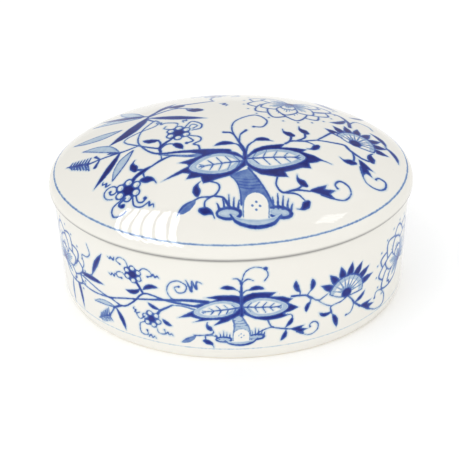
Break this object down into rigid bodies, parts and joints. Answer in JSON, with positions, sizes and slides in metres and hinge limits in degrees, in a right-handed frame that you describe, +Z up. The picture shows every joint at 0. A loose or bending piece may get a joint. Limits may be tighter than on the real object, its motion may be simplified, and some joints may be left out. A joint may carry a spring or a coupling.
{
  "type": "trinket box",
  "caption": "Oval lidded porcelain box: straight-sided body on a low foot ring, and a domed lid with a rolled rim that drops into the mouth on a locating flange.",
  "frame": {"origin": "Middle of the foot ring's ground face, under the middle of the oval", "axes": "+X along the length of the oval, +Y across it towards the back, +Z up through the middle of the lid"},
  "size_m": [0.12, 0.096, 0.0599],
  "materials": {
    "porcelain": "clear gloss glaze over white porcelain with hand-painted cobalt blue, bare biscuit on the foot ring and on the seat"
  },
  "bodies": {
    "body": {"box_body": "porcelain"},
    "cover": {"lid": "porcelain"}
  },
  "joints": [
    {"name": "lid_lift", "type": "slide", "parent": "body", "child": "cover", "axis": [0, 0, 1], "range_m": [0, 0.07]}
  ]
}
